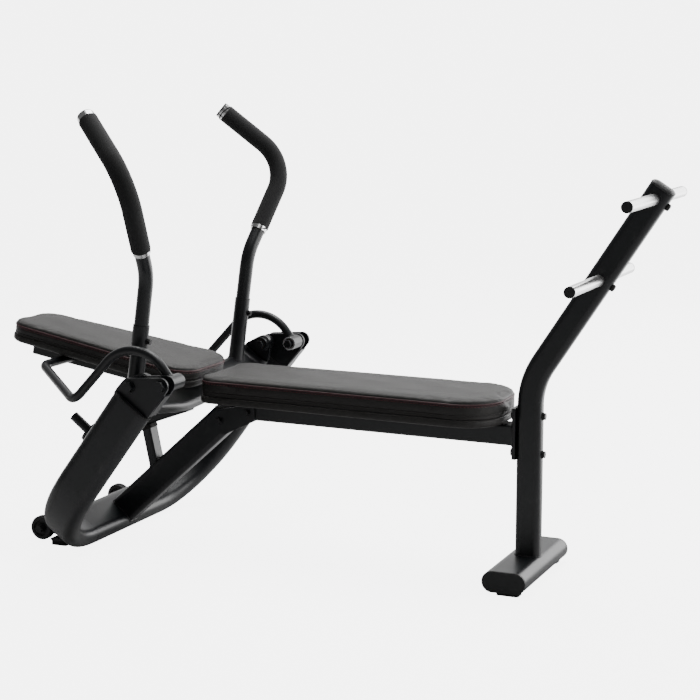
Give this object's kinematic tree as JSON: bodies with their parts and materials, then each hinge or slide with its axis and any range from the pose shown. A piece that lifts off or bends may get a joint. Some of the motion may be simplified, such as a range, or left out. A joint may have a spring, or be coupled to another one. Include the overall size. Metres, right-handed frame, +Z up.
{
  "type": "lever_lift_weight_bench",
  "caption": "Black flat weight bench with a lifting back pad driven by two overhead lever handles, a plate horn, foot bars and transport wheels.",
  "frame": {"origin": "On the floor under the middle of the bench's length, on its centre plane.", "axes": "+X towards the foot end, +Y towards the user's right side when lying face up with the head at -X, +Z up."},
  "size_m": [1.7167, 0.8482, 1.0978],
  "materials": {
    "frame_black": "satin",
    "black_plastic": "matte",
    "rubber": "matte",
    "foam": "matte",
    "upholstery": "satin",
    "board": "matte",
    "bright_steel": "satin",
    "chrome": "gloss",
    "dark_bolts": "satin",
    "bronze": "satin"
  },
  "bodies": {
    "frame": {"front_foot_tube": "frame_black", "front_foot_caps": "black_plastic", "front_rubber_feet": "rubber", "front_post": "frame_black", "post_cap": "black_plastic", "upper_foot_bar": "bright_steel", "lower_foot_bar": "bright_steel", "foot_bar_plugs": "black_plastic", "foot_bar_set_screws": "dark_bolts", "bench_beam": "frame_black", "beam_flange_plate": "frame_black", "flange_bolts": "dark_bolts", "bench_pad_brackets": "frame_black", "bench_pad_board": "board", "bench_pad": "upholstery", "bench_pad_screws": "dark_bolts", "rear_u_frame": "frame_black", "leg_collars": "black_plastic", "pivot_bracket_left": "frame_black", "pivot_bracket_right": "frame_black", "diagonal_beam": "frame_black", "diagonal_beam_plug": "black_plastic", "beam_gussets": "frame_black", "gusset_bolts": "dark_bolts", "stop_post": "frame_black", "stop_bumper": "rubber", "rear_foot_brackets": "frame_black", "rear_rubber_feet": "rubber", "wheel_bolts": "dark_bolts", "lever_pivot_bolts": "dark_bolts", "backrest_pivot_bolts": "dark_bolts", "thrust_washers": "black_plastic"},
    "lever": {"lever_cradle": "frame_black", "lever_hubs": "frame_black", "lever_bushes": "bronze", "handle_sleeves": "frame_black", "weight_arm": "frame_black", "weight_horn": "frame_black", "weight_horn_flange": "frame_black", "weight_horn_cap": "black_plastic", "lift_roller_bracket": "frame_black", "lift_roller_pin": "bright_steel", "handle_tube_left": "frame_black", "handle_tube_right": "frame_black", "foam_grip_left": "foam", "foam_grip_right": "foam", "grip_collars": "chrome", "handle_end_caps": "black_plastic", "handle_set_bolts": "dark_bolts"},
    "backrest": {"loop_frame": "frame_black", "backrest_hubs": "frame_black", "backrest_bushes": "bronze", "back_pad_beam": "frame_black", "back_pad_beam_plugs": "black_plastic", "back_pad_board": "board", "back_pad": "upholstery", "back_pad_screws": "dark_bolts"},
    "roller": {"lift_roller": "rubber"},
    "left_wheel": {"wheel_left": "black_plastic"},
    "right_wheel": {"wheel_right": "black_plastic"}
  },
  "joints": [
    {"name": "lever_pull", "type": "hinge", "parent": "frame", "child": "lever", "pos_m": [-0.3181, 0, 0.461], "axis": [0, 1, 0], "range_deg": [0, 45]},
    {"name": "backrest_lift", "type": "hinge", "parent": "frame", "child": "backrest", "pos_m": [-0.2341, 0, 0.468], "axis": [0, 1, 0], "range_deg": [0, 32.85]},
    {"name": "roller_spin", "type": "hinge", "parent": "lever", "child": "roller", "pos_m": [-0.5221, 0, 0.378], "axis": [0, 1, 0], "continuous": true},
    {"name": "left_wheel_spin", "type": "hinge", "parent": "frame", "child": "left_wheel", "pos_m": [-0.6981, -0.186, 0.036], "axis": [0, 1, 0], "continuous": true},
    {"name": "right_wheel_spin", "type": "hinge", "parent": "frame", "child": "right_wheel", "pos_m": [-0.6981, 0.186, 0.036], "axis": [0, 1, 0], "continuous": true}
  ],
  "couplings": [
    {"joint": "backrest_lift", "follows": "lever_pull", "ratio": 0.73}
  ]
}
